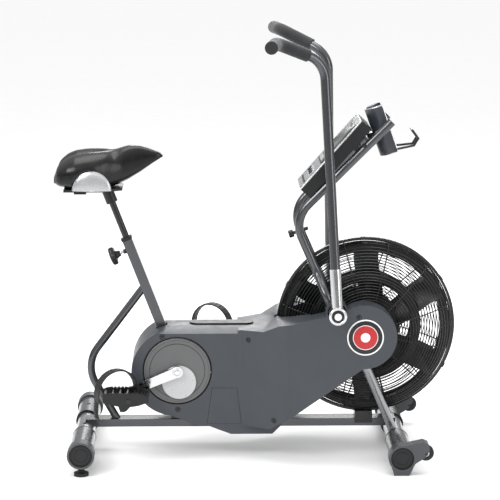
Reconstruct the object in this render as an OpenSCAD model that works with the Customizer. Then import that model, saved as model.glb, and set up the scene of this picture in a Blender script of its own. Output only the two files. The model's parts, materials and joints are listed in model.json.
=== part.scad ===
// Air bike: a stationary bicycle. Pedals and swinging handle arms turn a caged fan.
// X points forward, Y to the rider's left, Z up. The origin is on the floor under the
// middle of the machine. Right-hand pieces have negative Y.

/* [Overall] */
// Half the width over the handle ends and over the stabilizer ends
half_span = 326; // [320:1:332]
// Height of the handle ends above the floor
handle_z = 1387; // [1375:1:1400]

/* [Base frame] */
// Outer radius of the stabilizer tubes
stab_r = 32; // [30:0.5:34]
// Radius of the stabilizer end caps
cap_r = 44.5; // [42:0.5:46]
// Front stabilizer axis, forward of the origin
front_stab_x = 467; // [460:1:474]
// Front stabilizer axis, above the floor
front_stab_z = 57; // [55:1:60]
// Rear stabilizer axis, behind the origin
rear_stab_x = -573; // [-580:1:-566]
// Rear stabilizer axis, above the floor
rear_stab_z = 72; // [70:1:74]
// Width of the bottom rail
rail_w = 60; // [56:1:64]
// Height of the bottom rail
rail_h = 26; // [24:1:28]
// Underside of the bottom rail above the floor
rail_z = 87; // [86:1:88]

/* [Seat and its tube] */
// Lean of the seat tube back from vertical, in degrees
seat_lean = 20.9; // [19:0.1:23]
// Outer width of the square seat tube
seat_tube_w = 32; // [30:1:34]
// Length of the seat tube above the crank axis
seat_tube_len = 453; // [440:1:460]
// Radius of the seat post
post_r = 11.1; // [10:0.1:12]
// Half the width of the saddle at its rear
seat_half_w = 118; // [100:1:130]

/* [Crank drive] */
// Crank axis, behind the origin
crank_x = -263; // [-266:1:-260]
// Crank axis, above the floor
crank_z = 298; // [295:1:300]
// Crank length from axle to pedal spindle
crank_len = 170; // [165:1:175]
// Angle of the right crank arm below the horizontal, pointing back
crank_drop = 22.7; // [20:0.1:25]
// Radius of the round cover disc that turns with the crank
disc_r = 110; // [105:1:111]
// Radius of the bright eccentric disc
eccentric_r = 56.5; // [52:0.5:58]
// Distance of the eccentric's centre from the crank axis
throw = 38; // [34:1:40]
// Running radius of the large belt pulley
big_pulley_r = 122; // [115:1:124]
// Running radius of the small pulley on the second shaft
mid_small_r = 30; // [28:1:32]
// Running radius of the large pulley on the second shaft
mid_big_r = 60; // [56:1:62]
// Running radius of the pulley on the fan axle
fan_pulley_r = 25; // [22:1:28]

/* [Fan and cage] */
// Fan axis, forward of the origin
fan_x = 365; // [363:1:367]
// Fan axis, above the floor
fan_z = 430; // [428:1:432]
// Outer radius of the fan wheel
fan_r = 280; // [270:1:281]
// Outer radius of the cage rim
cage_r = 297.5; // [296:0.5:299]
// Number of fan vanes
vanes = 6; // [5:1:7]

/* [Handle arms] */
// Arm pivot, forward of the origin
pivot_x = 259; // [257:1:261]
// Arm pivot, above the floor
pivot_z = 512; // [510:1:514]
// Middle of the arm's pivot ring, from the mid-plane
pivot_y = 230; // [228:1:232]
// Outer radius of the arm tube
arm_r = 16; // [15:0.5:16]
// Outer radius of the foam grip
grip_r = 21; // [20:0.5:22]
// How far the left arm stands forward of the right one, in degrees
arm_offset = 1.8; // [0:0.1:3]
// Length of the hidden lever under each arm pivot
lever_len = 120; // [115:1:122]

/* [Mast and console] */
// Outer radius of the twin mast tubes
mast_r = 14.3; // [13:0.1:15]
// Distance of each mast tube from the mid-plane
mast_y = 87.5; // [87:0.5:88]
// Slope of the console face, in degrees above the horizontal
console_tilt = 48.6; // [47:0.1:50]
// Length of the console along its slope
console_len = 298; // [280:1:300]
// Width of the console
console_w = 196; // [180:1:200]
// Depth of the console housing
console_t = 41; // [38:1:43]

/* [Hidden] */
$fn = 64;
wall = 3;            // wall of the plastic shells
fit = 0.05;          // radial clearance of a running fit
gap = 0.5;           // clearance between a still and a moving piece

// ---------------------------------------------------------------- helpers

function unit(v) = v / norm(v);
function flip(p) = [p[0], -p[1], p[2]];
function polar(c, r, a) = [c[0] + r * cos(a), c[1] + r * sin(a)];

// A cylinder along Y at (x, z), between y0 and y1
module y_cyl(x, z, y0, y1, r) {
    translate([x, min(y0, y1), z]) rotate([-90, 0, 0]) cylinder(h = abs(y1 - y0), r = r);
}

// A flat outline drawn in X and Z, made solid between y0 and y1
module y_slab(y0, y1) {
    translate([0, max(y0, y1), 0]) rotate([90, 0, 0])
        linear_extrude(height = abs(y1 - y0)) children();
}

// A box given by its low and high corners
module box(low, high) {
    translate(low) cube(high - low);
}

// A straight round bar from a to b
module bar(a, b, r) {
    d = b - a;
    translate(a) rotate([0, acos(d[2] / norm(d)), atan2(d[1], d[0])])
        cylinder(h = norm(d), r = r);
}

// The bent corner of a round bar at b, between a and c
module corner(a, b, c, bend, r) {
    u = unit(b - a);
    turn = acos(u * unit(c - b));
    n = unit(cross(u, unit(c - b)));
    inward = cross(n, u);
    o = b - u * bend * tan(turn / 2) + inward * bend;
    multmatrix([
        [-inward[0], u[0], n[0], o[0]],
        [-inward[1], u[1], n[1], o[1]],
        [-inward[2], u[2], n[2], o[2]],
        [0, 0, 0, 1]
    ]) rotate_extrude(angle = turn) translate([bend, 0]) circle(r = r);
}

// How much of a straight run the corner at point i takes
function trim(pts, bends, i) =
    i == 0 || i == len(pts) - 1 ? 0 :
    bends[i] * tan(acos(unit(pts[i] - pts[i - 1]) * unit(pts[i + 1] - pts[i])) / 2);

// A hair-thin band round the place where a straight run meets a bend
module seam(p, u, r) {
    bar(p - u * 0.6, p + u * 0.6, r + 0.03);
}

// A round bar through pts, rounded at each inner point by bends[i]
module bent_bar(pts, bends, r) {
    last = len(pts) - 1;
    for (i = [0 : last - 1]) {
        u = unit(pts[i + 1] - pts[i]);
        low = pts[i] + u * trim(pts, bends, i);
        high = pts[i + 1] - u * trim(pts, bends, i + 1);
        bar(low, high, r);
        if (i > 0) seam(low, u, r);
        if (i < last - 1) seam(high, u, r);
    }
    for (i = [1 : 1 : last - 1]) corner(pts[i - 1], pts[i], pts[i + 1], bends[i], r);
}

// A bent tube with open ends
module bent_tube(pts, bends, r, t) {
    last = len(pts) - 1;
    longer = [for (i = [0 : last])
        i == 0 ? pts[0] - unit(pts[1] - pts[0]) :
        i == last ? pts[last] + unit(pts[last] - pts[last - 1]) : pts[i]];
    difference() {
        bent_bar(pts, bends, r);
        bent_bar(longer, bends, r - t);
    }
}

// Everything on the right side, and its mirror image on the left
module both_sides() {
    children();
    mirror([0, 1, 0]) children();
}

// ---------------------------------------------------------------- base frame

sleeve_y = 100;      // where the stabilizer end sleeves begin
sleeve_r = 38;
tube_end = half_span - 20;

module stabilizer_tube(x, z) {
    difference() {
        y_cyl(x, z, -tube_end, tube_end, stab_r);
        y_cyl(x, z, -tube_end - 1, tube_end + 1, stab_r - 2.5);
    }
}

module rear_stabilizer() {
    color("silver") stabilizer_tube(rear_stab_x, rear_stab_z);
}

module front_stabilizer() {
    color("silver") stabilizer_tube(front_stab_x, front_stab_z);
}

// A sleeve round the tube and the wider, dished cap at its end, right side
module end_cap(x, z) {
    difference() {
        union() {
            y_cyl(x, z, -sleeve_y, -tube_end - 1, sleeve_r);
            y_cyl(x, z, -half_span, -half_span + 46, cap_r);
        }
        y_cyl(x, z, -sleeve_y + 1, -tube_end, stab_r);
        y_cyl(x, z, -half_span - 1, -half_span + 6, cap_r - 7);
    }
}

leveller_y = 296;

module rear_caps() {
    color("dimgray") both_sides() difference() {
        end_cap(rear_stab_x, rear_stab_z);
        translate([rear_stab_x, -leveller_y, 8]) cylinder(h = 60, r = 5 + fit);
    }
}

wheel_x = 544;
wheel_z = 72;
wheel_y = 303;
wheel_r = 26;

module front_cap() {
    lip_w = 54;
    difference() {
        union() {
            end_cap(front_stab_x, front_stab_z);
            y_slab(-half_span + 2, -half_span + 46) polygon([
                [front_stab_x - lip_w / 2, 0], [front_stab_x + lip_w / 2 - 6, 0],
                [front_stab_x + lip_w / 2, 8], [front_stab_x + 38, 34],
                [front_stab_x + 20, front_stab_z], [front_stab_x - 20, front_stab_z],
                [front_stab_x - 36, 30], [front_stab_x - lip_w / 2, 6]
            ]);
            y_slab(-half_span + 2, -half_span + 46) polygon([
                [front_stab_x + 10, front_stab_z + 43], [wheel_x - 10, wheel_z + 40],
                [wheel_x + 6, wheel_z + 34], [wheel_x + 12, wheel_z + 14],
                [wheel_x - 4, wheel_z - 12], [front_stab_x + 40, front_stab_z - 18]
            ]);
        }
        y_cyl(front_stab_x, front_stab_z, -half_span + 20, -tube_end + 60, stab_r);
        y_cyl(front_stab_x, front_stab_z, -half_span - 1, -half_span + 6, cap_r - 7);
        y_cyl(wheel_x, wheel_z, -wheel_y - 13, -wheel_y + 13, wheel_r + 3);
        y_cyl(wheel_x, wheel_z, -half_span - 1, -half_span + 47, 5);
    }
}

module front_caps() {
    color("dimgray") both_sides() front_cap();
}

// Two bolts on the rear stabilizer, one on the front one, and the two wheel pins
module bolts() {
    color("black") {
        difference() {
            union() {
                translate([rear_stab_x, -40, rear_stab_z]) cylinder(h = stab_r + 2, r = 7);
                translate([rear_stab_x, 185, rear_stab_z]) cylinder(h = sleeve_r + 2, r = 7);
                translate([front_stab_x - 12, -88, front_stab_z]) cylinder(h = stab_r + 3, r = 6);
            }
            y_cyl(rear_stab_x, rear_stab_z, -60, 60, stab_r);
            y_cyl(rear_stab_x, rear_stab_z, 160, 210, sleeve_r);
            y_cyl(front_stab_x, front_stab_z, -110, -60, stab_r);
        }
        both_sides() y_cyl(wheel_x, wheel_z, -half_span + 2, -half_span + 46, 5);
    }
}

module rail_box(grow = 0) {
    box([rear_stab_x, -rail_w / 2 - grow, rail_z - grow],
        [front_stab_x, rail_w / 2 + grow, rail_z + rail_h + grow]);
}

module bottom_rail() {
    color("dimgray") difference() {
        rail_box();
        box([rear_stab_x - 1, 3 - rail_w / 2, rail_z + 3],
            [front_stab_x + 1, rail_w / 2 - 3, rail_z + rail_h - 3]);
        y_cyl(rear_stab_x, rear_stab_z, -50, 50, stab_r);
        y_cyl(front_stab_x, front_stab_z, -50, 50, stab_r);
    }
}

// ---------------------------------------------------------------- seat tube and strut

// Places children in the seat tube's own frame: Z up the tube from the crank axis
module on_seat_tube() {
    translate([crank_x - 3, 0, crank_z]) rotate([0, -seat_lean, 0]) children();
}

shell_r = 27;        // crank shell

module seat_tube() {
    hw = seat_tube_w / 2;
    color("gray") difference() {
        on_seat_tube() difference() {
            box([-hw, -hw, 0], [hw, hw, seat_tube_len]);
            box([2.5 - hw, 2.5 - hw, 60], [hw - 2.5, hw - 2.5, seat_tube_len + 1]);
            translate([-hw - 1, 0, knob_at]) rotate([0, 90, 0]) cylinder(h = 10, r = 8);
        }
        y_cyl(crank_x, crank_z, -50, 50, shell_r);
    }
}

knob_at = 418;       // height of the height-adjusting knob up the tube

// Plastic sleeve in the mouth of the seat tube, and the threaded boss that guides the pin
module tube_bushing() {
    hw = seat_tube_w / 2;
    color("black") on_seat_tube() difference() {
        union() {
            box([2.5 - hw, 2.5 - hw, seat_tube_len - 80], [hw - 2.5, hw - 2.5, seat_tube_len]);
            box([-hw - 2, -hw - 2, seat_tube_len], [hw + 2, hw + 2, seat_tube_len + 9]);
            translate([-hw - 10, 0, knob_at]) rotate([0, 90, 0]) cylinder(h = 14, r = 8);
        }
        translate([0, 0, seat_tube_len - 81]) cylinder(h = 100, r = post_r + fit);
        translate([-hw - 11, 0, knob_at]) rotate([0, 90, 0]) cylinder(h = 20, r = 4 + fit);
    }
}

strut_pts = [[-368, 0, 568], [-574, 0, 295], [-462, 0, 99]];

module rear_strut() {
    hw = seat_tube_w / 2;
    color("gray") difference() {
        bent_tube(strut_pts, [0, 112, 0], 13, 2);
        on_seat_tube() box([-hw, -hw, 0], [hw, hw, seat_tube_len]);
        rail_box();
    }
}

// ---------------------------------------------------------------- inner and front frame

plate_y = 122;       // inner face of the upright plates
plate_t = 7;

module upright_plate() {
    y_slab(-plate_y, -plate_y - plate_t) difference() {
        union() {
            translate([fan_x, fan_z]) circle(r = 30);
            translate([pivot_x, pivot_z]) circle(r = 26);
            polygon([[pivot_x - 22, pivot_z + 14], [pivot_x + 12, pivot_z - 8],
                [fan_x + 18, fan_z + 24], [fan_x + 22, fan_z - 90], [fan_x - 30, fan_z - 90],
                [fan_x - 60, fan_z - 20], [pivot_x - 22, pivot_z - 12]]);
        }
        translate([fan_x, fan_z]) circle(r = 17);
    }
}

module inner_frame() {
    color("dimgray") {
        difference() {
            union() {
                y_cyl(crank_x, crank_z, -42, 42, shell_r);
                box([crank_x - 22, -25, rail_z + rail_h], [crank_x + 22, 25, crank_z]);
            }
            y_cyl(crank_x, crank_z, -43, 43, 21);
            box([crank_x - 18, -21, rail_z + rail_h - 1], [crank_x + 18, 21, crank_z - 30]);
        }
        both_sides() difference() {
            upright_plate();
            y_cyl(pivot_x, pivot_z, -110, -140, 12);
        }
    }
}

module bearing(x, z, y0, y1, ri, ro) {
    difference() {
        y_cyl(x, z, y0, y1, ro);
        y_cyl(x, z, y0 - 1, y1 + 1, ri);
    }
}

// Crank bearings in the crank shell, fan bearings in the upright plates
module bearings() {
    color("silver") both_sides() {
        bearing(crank_x, crank_z, -42, -28, 10 + fit, 21);
        bearing(fan_x, fan_z, -plate_y - plate_t, -plate_y + 2, 8 + fit, 17);
    }
}

module pivot_shafts() {
    color("silver") both_sides() y_cyl(pivot_x, pivot_z, -plate_y, -pivot_y - 26, 12);
}

// From the front stabilizer up and outward round the cage to each upright plate
strut_foot = [455, -56, 84];
strut_head = [345, -152, 350];

module front_struts() {
    color("silver") both_sides() difference() {
        union() {
            bent_tube([strut_foot, strut_head], [0, 0], 15, 2);
            y_cyl(350, 352, -plate_y - plate_t, -141, 10);
        }
        y_cyl(front_stab_x, front_stab_z, -140, 0, stab_r);
    }
}

// ---------------------------------------------------------------- shroud

shroud_top = 437;
rear_c = [-268, 290];
rear_r = 147;
shroud_half = 100;
arm_half = 195;
arm_inner = 118;
dome_c = [350, 430];
dome_r = 106;

// Rear body outline, drawn in X and Z, inset by i
module rear_outline(i) {
    translate(rear_c) circle(r = rear_r - i, $fn = 128);
    polygon([
        [rear_c[0], shroud_top - i], [56 - i, shroud_top - i], [84 - i, 112 + i / 2],
        [52 - i / 2, 80 + i], [-86 + i / 4, 80 + i], [-159, 108 + i], [-215, 108 + i],
        [-225 + i, 122 + i], [rear_c[0] - 12, rear_c[1] - rear_r + i]
    ]);
}

// Front arm outline, drawn in X and Z, inset by i
module arm_outline(i) {
    translate(dome_c) circle(r = dome_r - i, $fn = 128);
    polygon([
        [-62 + i, 434 - i], [20, shroud_top - i], [69, 462 - i], [226, 500 - i],
        [dome_c[0], dome_c[1] + 90 - i], [dome_c[0] + 40, dome_c[1] - 60],
        [361, 334 + 1.25 * i], [41, 110 + 1.25 * i], [-62 + i, 110 + 1.25 * i]
    ]);
    translate([pivot_x, pivot_z]) circle(r = 36 - i);
}

// The arm seen from above: it flares out from the body and runs forward, inset by i
module arm_plan(i, inner_y) {
    polygon([
        [-62 + i, inner_y], [-62 + i, -shroud_half + i], [-50, -shroud_half + i],
        [112, -arm_half + i], [460 - i, -arm_half + i], [460 - i, -arm_inner - i],
        [176 - i, -arm_inner - i], [176 - i, inner_y]
    ]);
}

module arm_solid(i, inner_y) {
    intersection() {
        y_slab(5, -arm_half) arm_outline(i);
        translate([0, 0, 60]) linear_extrude(height = 520) arm_plan(i, inner_y);
    }
}

// The round space that the shroud leaves for the cage, g clear of the grilles
module cage_space(g) {
    half = concat([[0, grille_out[len(grille_out) - 1][1] + g]],
        [for (k = [len(grille_out) - 1 : -1 : 0]) grille_out[k] + [g, g]],
        [[cage_r + 4 + g, 14 + g]]);
    translate([fan_x, 0, fan_z]) rotate([90, 0, 0]) rotate_extrude($fn = 96)
        polygon(concat(half, [for (k = [len(half) - 1 : -1 : 0]) [half[k][0], -half[k][1]]]));
}

// The sloping shoulder along the top of the rear body, lowered by i
module shoulder_cut(i) {
    translate([-450, -42, shroud_top - i]) rotate([14, 0, 0]) translate([0, -90, 0])
        cube([640, 90, 60]);
}

module rear_solid(i, inner_y) {
    difference() {
        y_slab(inner_y, -shroud_half + i) rear_outline(i);
        shoulder_cut(i);
    }
}

module right_shell() {
    difference() {
        union() {
            rear_solid(0, 0);
            arm_solid(0, 0);
        }
        cage_space(4);
        difference() {
            union() {
                rear_solid(wall, 1);
                arm_solid(wall, 1);
            }
            cage_space(4 + wall);
        }
        rail_box(1);
        box([crank_x - 24, -27, 100], [crank_x + 24, 27, 170]);
        // openings for the seat tube, the crank cover, the arm pivot and the mast tube
        on_seat_tube() box([-20, -20, 60], [20, 20, 300]);
        y_cyl(crank_x, crank_z, -shroud_half - 5, -90, disc_r + 3);
        y_cyl(pivot_x, pivot_z, -arm_half - 5, -150, 22);
        y_cyl(pivot_x, pivot_z, -arm_half - 1, -arm_half + 8, 31);
        bar(mast_pts[0] - [0, 0, 20], mast_pts[1], mast_r + 3);
        bar(mast_pts[1], mast_pts[2], mast_r + 3);
        // the strut leaves through the underside of the arm, the axle through its side
        bar(strut_foot, strut_head, 18);
        y_cyl(fan_x, fan_z, -arm_inner - 5, -100, 60);
    }
}

module right_shroud() {
    color("slategray") right_shell();
}

module left_shroud() {
    color("slategray") mirror([0, 1, 0]) right_shell();
}

// Long oval cover let into the top of the shroud
module top_plate() {
    color("dimgray") translate([0, 0, shroud_top]) linear_extrude(height = 5) {
        translate([-194, 0]) circle(r = 28);
        translate([-37, 0]) circle(r = 28);
        polygon([[-194, -28], [-37, -28], [-37, 28], [-194, 28]]);
    }
}

module badges() {
    color("firebrick") both_sides()
        y_cyl(352, 430, -arm_half, -arm_half - 3, 60);
}

// ---------------------------------------------------------------- cage

// Outer line of one dished grille, as radius and distance from the mid-plane
grille_out = [[288, 9], [285, 33], [240, 73], [200, 93], [150, 106], [105, 113], [46, 114]];

module grille() {
    inner = [for (k = [len(grille_out) - 1 : -1 : 0]) grille_out[k] - [3, 3]];
    translate([fan_x, 0, fan_z]) rotate([90, 0, 0]) rotate_extrude($fn = 96)
        polygon(concat(grille_out, inner));
}

module right_grille() {
    color("black") grille();
}

module left_grille() {
    color("black") mirror([0, 1, 0]) grille();
}

clip_turn = 32;      // angle of the first clip above the horizontal

// The flat ring that joins the two grilles, its clips, and the saddle on the rail
module cage_rim() {
    color("black") difference() {
        union() {
            y_cyl(fan_x, fan_z, -8, 8, cage_r);
            for (a = [clip_turn : 60 : clip_turn + 300])
                translate([fan_x, 0, fan_z]) rotate([0, -a, 0])
                    box([cage_r - 8, -13, -8], [cage_r + 2, 13, 8]);
            difference() {
                box([330, -rail_w / 2 - 4, 98], [389, rail_w / 2 + 4, 139]);
                rail_box();
            }
        }
        y_cyl(fan_x, fan_z, -40, 40, cage_r - 9 + 0.2);
        both_sides() grille();
    }
}

// ---------------------------------------------------------------- belt drive

crank_c = [crank_x, crank_z];
fan_c = [fan_x, fan_z];
mid_c = [100, 250];  // axis of the second shaft
belt_w = 12;
first_y = 47;        // inner edge of the belt from the crank
second_y = 131;      // inner edge of the belt to the fan

// Outline of a belt round two pulleys, at c1 and c2 with radii r1 and r2, grown by g
module belt_outline(c1, r1, c2, r2, g) {
    run = c2 - c1;
    way = atan2(run[1], run[0]);
    b = acos((r1 - r2) / norm(run));
    step = (360 - 2 * b) / 40;
    polygon(concat(
        [for (i = [0 : 40]) polar(c1, r1 + g, way + b + i * step)],
        [for (i = [0 : 20]) polar(c2, r2 + g, way - b + i * b / 10)]));
}

module one_belt(y, c1, r1, c2, r2) {
    y_slab(y, y + belt_w) difference() {
        belt_outline(c1, r1, c2, r2, 4);
        belt_outline(c1, r1, c2, r2, 0.9);
    }
}

module belts() {
    color("black") {
        one_belt(first_y, crank_c, big_pulley_r, mid_c, mid_small_r);
        one_belt(second_y, mid_c, mid_big_r, fan_c, fan_pulley_r);
    }
}

// Two plates that stand on the rail and hold the second shaft
module pulley_bracket() {
    side = [[-12, rail_z + rail_h], [38, rail_z + rail_h], [mid_c[0] + 14, mid_c[1] - 12],
        [mid_c[0] + 14, mid_c[1] + 14], [mid_c[0] - 12, mid_c[1] + 14]];
    color("dimgray") {
        box([-12, -rail_w / 2, rail_z + rail_h], [38, 94, rail_z + rail_h + 5]);
        for (y = [66, 88]) y_slab(y, y + 6) difference() {
            polygon(side);
            translate(mid_c) circle(r = 8 + fit);
        }
    }
}

// The second shaft with a pulley at each end
module mid_pulleys() {
    color("dimgray") {
        y_cyl(mid_c[0], mid_c[1], first_y - 3, second_y + belt_w + 3, 8);
        y_cyl(mid_c[0], mid_c[1], first_y - 1, first_y + belt_w + 1, mid_small_r);
        y_cyl(mid_c[0], mid_c[1], second_y - 1, second_y + belt_w + 1, mid_big_r);
    }
}

module fan_axle() {
    color("silver") y_cyl(fan_x, fan_z, -plate_y - plate_t - 2, second_y + belt_w + 4, 8);
}

module fan_pulley() {
    color("silver") difference() {
        y_cyl(fan_x, fan_z, second_y - 1, second_y + belt_w + 1, fan_pulley_r);
        y_cyl(fan_x, fan_z, second_y - 2, second_y + belt_w + 2, 8);
    }
}

// ---------------------------------------------------------------- fan

// Hub, centre disc, two flat rings and slanted vanes
module fan_wheel() {
    vane_t = 3;
    chord = 124;
    color("darkslategray") translate([fan_x, 0, fan_z]) rotate([90, 0, 0]) difference() {
        union() {
            translate([0, 0, -60]) cylinder(h = 120, r = 34);
            translate([0, 0, -2]) cylinder(h = 4, r = 116, $fn = 96);
            for (ring = [[150, 182], [252, fan_r]]) translate([0, 0, -2]) difference() {
                cylinder(h = 4, r = ring[1], $fn = 96);
                translate([0, 0, -1]) cylinder(h = 6, r = ring[0], $fn = 96);
            }
            for (i = [0 : vanes - 1]) rotate([0, 0, 20 + i * 360 / vanes])
                translate([30, 0, 0]) rotate([44, 0, 0])
                    translate([0, -chord / 2, -vane_t / 2]) cube([225, chord, vane_t]);
        }
        translate([0, 0, -70]) cylinder(h = 140, r = 8);
    }
}

// ---------------------------------------------------------------- crankset

ecc_c = [crank_x + 6, crank_z - throw];
pedal_r_c = [crank_x - crank_len * cos(crank_drop), crank_z - crank_len * sin(crank_drop)];
pedal_l_c = [crank_x + crank_len * cos(crank_drop), crank_z + crank_len * sin(crank_drop)];
ecc_l_c = [crank_x - 6, crank_z + throw];
cover_y = 97;        // inner face of the cover discs
ecc_y = 103;
arm_y = 110;

module crank_axle() {
    color("silver") y_cyl(crank_x, crank_z, -arm_y - 12, arm_y + 12, 10);
}

module crank_pulley() {
    color("dimgray") difference() {
        union() {
            y_cyl(crank_x, crank_z, first_y - 1, first_y + belt_w + 1, big_pulley_r);
            y_cyl(crank_x, crank_z, 44, cover_y, 20);
        }
        y_cyl(crank_x, crank_z, 43, cover_y + 1, 10);
        for (a = [0 : 60 : 300])
            y_cyl(crank_x + 70 * cos(a), crank_z + 70 * sin(a), first_y - 3, 63, 28);
    }
}

module crank_cover(c) {
    difference() {
        union() {
            y_cyl(crank_x, crank_z, -cover_y, -ecc_y, disc_r);
            y_cyl(c[0], c[1], -92, -cover_y, 8);
        }
        y_cyl(crank_x, crank_z, -80, -ecc_y - 1, 10);
    }
}

module crank_covers() {
    color("gray") {
        crank_cover(ecc_c);
        mirror([0, 1, 0]) crank_cover(ecc_l_c);
    }
}

module eccentric(c) {
    difference() {
        y_cyl(c[0], c[1], -ecc_y, -arm_y, eccentric_r);
        y_cyl(crank_x, crank_z, -ecc_y + 1, -arm_y - 1, 10);
    }
}

module eccentrics() {
    color("gainsboro") {
        eccentric(ecc_c);
        mirror([0, 1, 0]) eccentric(ecc_l_c);
    }
}

pedal_in = 150;      // inner edge of each pedal
pedal_out = 246;     // outer edge of each pedal

// One crank arm with its pedal spindle, on the right side, pointing to p
module crank_arm(p) {
    a = atan2(p[1] - crank_z, p[0] - crank_x);
    difference() {
        union() {
            y_slab(-arm_y, -arm_y - 14) {
                translate(crank_c) circle(r = 19);
                translate(p) circle(r = 14);
                polygon([polar(crank_c, 17, a - 90), polar(p, 13.5, a - 90),
                    polar(p, 13.5, a + 90), polar(crank_c, 17, a + 90)]);
            }
            y_cyl(p[0], p[1], -arm_y - 14, -pedal_in + 2, 10);
            y_cyl(p[0], p[1], -pedal_in + 3, -pedal_out + 8, 6);
        }
        y_cyl(crank_x, crank_z, -arm_y + 1, -arm_y - 12, 10);
    }
}

module crank_arms() {
    color("gainsboro") {
        crank_arm(pedal_r_c);
        mirror([0, 1, 0]) crank_arm(pedal_l_c);
    }
}

// ---------------------------------------------------------------- pedals

// Platform pedal in its own frame: spindle along Y through the origin, right side
module pedal_body() {
    difference() {
        union() {
            y_slab(-pedal_in, -pedal_out) difference() {
                polygon([[-82, 20], [-60, 26], [24, 24], [64, 12], [64, -4], [30, -16],
                    [4, -20], [-8, -34], [-24, -36], [-32, -16], [-82, -6]]);
                circle(r = 6 + fit);
            }
        }
        // foot plate windows, open from top to bottom beside the spindle
        for (x = [-64, 22]) box([x, -pedal_out + 14, -50], [x + 36, -pedal_in - 14, 50]);
        for (x = [-60 : 12 : 0])
            y_slab(-pedal_in + 1, -pedal_out - 1)
                polygon([[x, 30], [x + 6, 19], [x + 12, 30]]);
    }
}

strap_turn = 32;     // the strap crosses the foot on the slant
strap_out = 76;      // outer half span of the arch

// Arched strap over the foot, and its loose tail at the back
module strap_shape() {
    band_t = 5;
    translate([-40, -(pedal_in + pedal_out) / 2 - 2, 20]) rotate([0, 0, strap_turn])
        y_slab(-16, 16) {
            difference() {
                circle(r = strap_out);
                circle(r = strap_out - band_t);
                translate([-100, -100]) square([200, 100]);
            }
            translate([-strap_out, -26]) square([band_t, 27]);
            translate([strap_out - band_t, -6]) square([band_t, 7]);
        }
}

module pedal_at(c) {
    translate([c[0], 0, c[1]]) difference() {
        pedal_body();
        strap_shape();
    }
}

module strap_at(c) {
    translate([c[0], 0, c[1]]) strap_shape();
}

module right_pedal() {
    color("black") pedal_at(pedal_r_c);
}

module left_pedal() {
    color("black") mirror([0, 1, 0]) pedal_at(pedal_l_c);
}

module right_strap() {
    color("black") strap_at(pedal_r_c);
}

module left_strap() {
    color("black") mirror([0, 1, 0]) strap_at(pedal_l_c);
}

// ---------------------------------------------------------------- handle arms

pivot = [pivot_x, -pivot_y, pivot_z];
arm_top = [216, -126, 1322];
arm_pts = [pivot, arm_top, [60, -204, handle_z + 3], [40, 3 - half_span, handle_z]];
arm_bends = [0, 84, 62, 0];
arm_dir = unit(arm_top - pivot);
tube_start = 52;     // where the arm tube begins above the pivot
socket_len = 150;    // length of the socket above the pivot
lever_y = 158;       // inner face of the hidden lever

// The arm's centre line from the start of the tube
arm_line = [pivot + arm_dir * tube_start, arm_pts[1], arm_pts[2],
    arm_pts[3] + [0, 6, 0]];

grip_dir = unit(arm_pts[2] - arm_pts[1]);
grip_from = arm_pts[1] + grip_dir * 66;

module arm_tube() {
    bent_tube(arm_line, arm_bends, arm_r, 2);
}

// Foam sleeve over the bent end, with its end plug
module grip() {
    difference() {
        bent_bar([grip_from, arm_pts[2], arm_pts[3]], [0, 62, 0], grip_r);
        bent_bar([grip_from - grip_dir, arm_pts[2], arm_pts[3] + [0, 6, 0]], [0, 62, 0],
            arm_r + 0.06);
    }
}

// Bright socket that holds the arm tube and turns on the pivot shaft, with the hidden
// lever that the link rod pushes
module socket() {
    ring_in = pivot_y - 22;
    tip = [pivot_x - 4, pivot_z - lever_len];
    difference() {
        union() {
            bar(pivot, pivot + arm_dir * socket_len, 18.5);
            y_cyl(pivot_x, pivot_z, -ring_in, -pivot_y - 20, 29);
            y_cyl(pivot_x, pivot_z, -ring_in, -lever_y, 19);
            y_slab(-lever_y, -lever_y - 8) {
                polygon([[pivot_x - 16, pivot_z], [pivot_x + 16, pivot_z],
                    tip + [10, 0], tip - [10, 0]]);
                translate(tip) circle(r = 13);
            }
            y_cyl(tip[0], tip[1], -lever_y, -lever_y + 11, 6);
        }
        bar(pivot + arm_dir * tube_start, pivot + arm_dir * (socket_len + 1), arm_r);
        y_cyl(pivot_x, pivot_z, -100, -pivot_y - 27, 12 + fit);
    }
}

// Turns the left arm forward about its pivot
module left_side() {
    translate([pivot_x, 0, pivot_z]) rotate([0, arm_offset, 0])
        translate([-pivot_x, 0, -pivot_z]) mirror([0, 1, 0]) children();
}

module right_arm() {
    color("dimgray") arm_tube();
}

module left_arm() {
    color("dimgray") left_side() arm_tube();
}

module right_grip() {
    color("black") grip();
}

module left_grip() {
    color("black") left_side() grip();
}

module right_socket() {
    color("silver") socket();
}

module left_socket() {
    color("silver") left_side() socket();
}

// Rod from the lever's end to the crank's eccentric pin, at e
module link_rod(e) {
    y_out = lever_y - 6;
    a = [pivot_x - 4, -y_out, pivot_z - lever_len];
    difference() {
        union() {
            y_cyl(a[0], a[2], -y_out + 4.5, -y_out - 5, 13);
            bent_bar([a, [140, -y_out, 368], [10, -87.5, 334], [e[0], -87.5, e[1]]],
                [0, 60, 60, 0], 4.5);
            y_cyl(e[0], e[1], -84, -91, 15);
        }
        y_cyl(a[0], a[2], -y_out + 6, -y_out - 7, 6 + fit);
    }
}

module right_link() {
    color("gray") link_rod(ecc_c);
}

module left_link() {
    color("gray") left_side() link_rod(ecc_l_c);
}

// ---------------------------------------------------------------- mast and console

mast_pts = [[248, -142, 498], [226, -142, 558], [197, -mast_y, 628],
    [120.4, -mast_y, 802.9], [439, -mast_y, 1123]];

module one_mast_tube() {
    difference() {
        bent_tube(mast_pts, [0, 50, 60, 100, 0], mast_r, 2);
        upright_plate();
        y_cyl(pivot_x, pivot_z, -110, -160, 12);
    }
}

module mast_tubes() {
    color("gray") both_sides() one_mast_tube();
}

// Places children in the console's frame: X up the slope, Z out of the face
console_low = [140, 0, 905];

module on_console() {
    translate(console_low) rotate([0, -console_tilt, 0]) children();
}

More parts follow.
